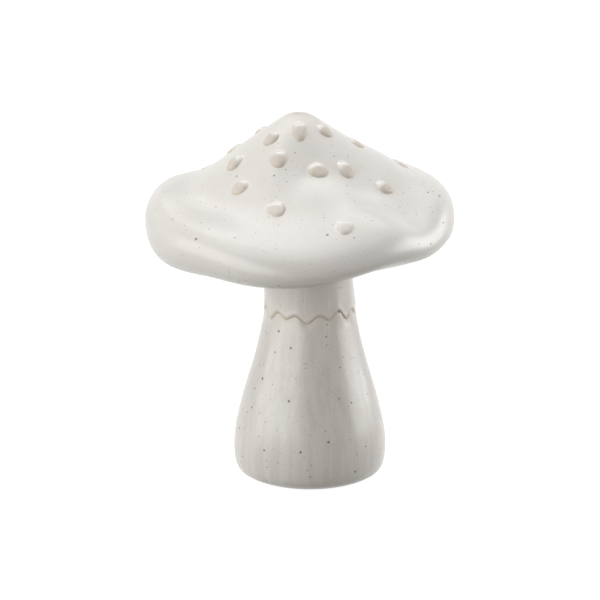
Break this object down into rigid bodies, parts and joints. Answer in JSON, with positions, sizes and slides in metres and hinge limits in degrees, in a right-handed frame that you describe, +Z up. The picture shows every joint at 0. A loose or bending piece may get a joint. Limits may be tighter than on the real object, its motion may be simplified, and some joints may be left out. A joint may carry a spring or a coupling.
{
  "type": "mushroom ornament",
  "caption": "Glazed stoneware mushroom ornament: a peaked cap with a wavy brim and raised spots on a flared hollow stem with a scalloped skirt.",
  "frame": {"origin": "on the surface that the foot rests on, under the middle of the object's outer box", "axes": "+Z up from the foot to the peak of the cap, the pictured front faces -Y, +X to the right seen from the front"},
  "size_m": [0.0984, 0.1012, 0.1192],
  "materials": {
    "cap_glaze": "satin off-white glaze with fine brown specks",
    "stem_glaze": "satin off-white glaze with brown and black specks, bare clay under the foot",
    "skirt_glaze": "satin off-white glaze, tan where it is thin on the scalloped hem",
    "spot_glaze": "satin glaze, thin and tan over raised clay"
  },
  "bodies": {
    "root": {"cap": "cap_glaze", "stem": "stem_glaze", "skirt": "skirt_glaze", "spot_01": "spot_glaze", "spot_02": "spot_glaze", "spot_03": "spot_glaze", "spot_04": "spot_glaze", "spot_05": "spot_glaze", "spot_06": "spot_glaze", "spot_07": "spot_glaze", "spot_08": "spot_glaze", "spot_09": "spot_glaze", "spot_10": "spot_glaze", "spot_11": "spot_glaze", "spot_12": "spot_glaze", "spot_13": "spot_glaze", "spot_14": "spot_glaze", "spot_15": "spot_glaze", "spot_16": "spot_glaze", "spot_17": "spot_glaze", "spot_18": "spot_glaze", "spot_19": "spot_glaze", "spot_20": "spot_glaze", "spot_21": "spot_glaze", "spot_22": "spot_glaze"}
  },
  "joints": []
}
